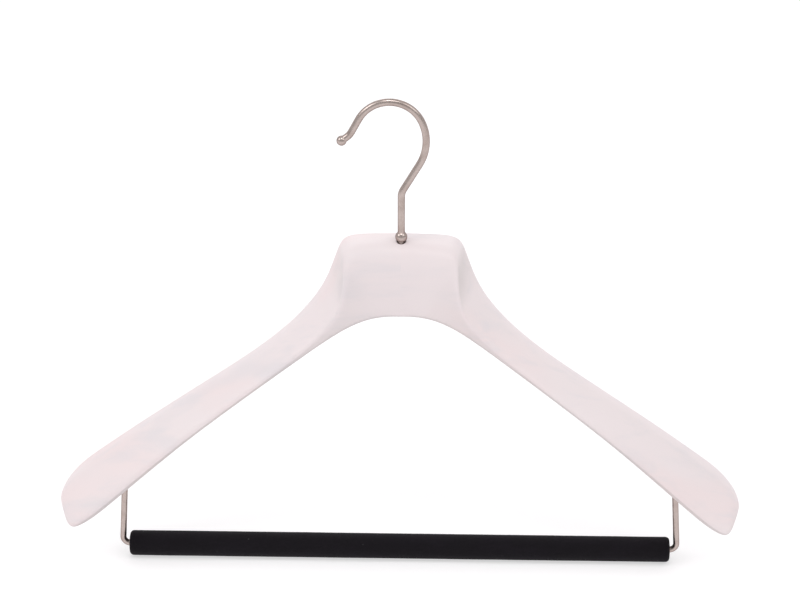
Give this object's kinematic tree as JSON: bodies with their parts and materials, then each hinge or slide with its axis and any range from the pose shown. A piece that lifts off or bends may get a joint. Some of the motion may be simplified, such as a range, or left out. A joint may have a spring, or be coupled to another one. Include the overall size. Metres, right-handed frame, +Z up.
{
  "type": "clothes hanger",
  "caption": "Contoured whitewashed wooden suit hanger with a metal swivel hook and a velvet-covered trouser bar hung on bent wires below the arms.",
  "frame": {"origin": "the rail seat: the highest point inside the hook's loop, where the hanger bears on a rail", "axes": "+Z up, the front of the hanger faces -Y, its width runs along X with the hook's open mouth towards -X"},
  "size_m": [0.4447, 0.0833, 0.3089],
  "materials": {
    "whitewashed_wood": "whitewashed, satin lacquer",
    "dowel_wood": "bare hardwood",
    "satin_nickel": "satin nickel plate on steel",
    "nickel_barrel": "satin nickel plate on brass",
    "white_nylon": "natural nylon",
    "spring_steel": "oiled spring steel",
    "tube_steel": "drawn tube, bare",
    "black_velvet": "black velvet flocking",
    "black_nylon": "moulded black nylon"
  },
  "bodies": {
    "frame": {"left_arm": "whitewashed_wood", "right_arm": "whitewashed_wood", "upper_dowel": "dowel_wood", "lower_dowel": "dowel_wood", "swivel_barrel": "nickel_barrel", "thrust_washer": "white_nylon", "left_bar_wire": "satin_nickel", "right_bar_wire": "satin_nickel"},
    "hook": {"hook_wire": "satin_nickel", "hook_tip_ball": "satin_nickel", "hook_collar": "satin_nickel", "hook_clip": "spring_steel"},
    "trouser_bar": {"bar_tube": "tube_steel", "velvet_sleeve": "black_velvet", "left_end_plug": "black_nylon", "right_end_plug": "black_nylon"}
  },
  "joints": [
    {"name": "hook_swivel", "type": "hinge", "parent": "frame", "child": "hook", "pos_m": [0.00754, 0, -0.09293], "axis": [0, 0, 1], "continuous": true},
    {"name": "bar_roll", "type": "hinge", "parent": "frame", "child": "trouser_bar", "pos_m": [0.00754, -0.038, -0.29593], "axis": [1, 0, 0], "continuous": true}
  ]
}
